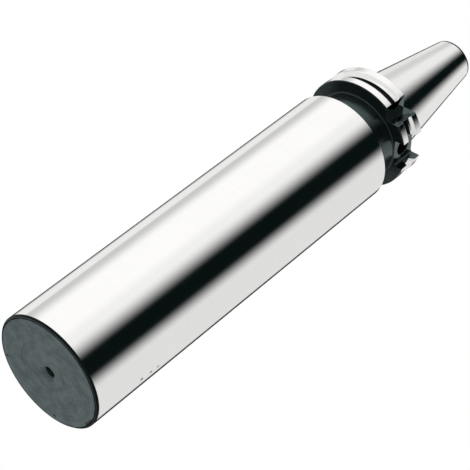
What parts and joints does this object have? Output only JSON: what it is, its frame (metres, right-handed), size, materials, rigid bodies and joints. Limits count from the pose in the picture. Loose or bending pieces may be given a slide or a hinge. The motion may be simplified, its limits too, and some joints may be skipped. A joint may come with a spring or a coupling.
{
  "type": "boring bar blank",
  "caption": "Plain round steel boring bar blank with a 7/24 steep taper shank, gripper flange with V-groove, drive slots and orientation notch, and a threaded pull stud bore.",
  "frame": {"origin": "centre of the free end face of the plain body, on which the blank stands", "axes": "+Z along the bar's axis from the free end to the small end of the taper, +X through the drive slot that has the data carrier bore in its floor"},
  "size_m": [0.062, 0.0636, 0.3184],
  "materials": {
    "ground_steel": "ground and bright, with a dull turned free end"
  },
  "bodies": {
    "root": {"boring_bar_blank": "ground_steel"}
  },
  "joints": []
}
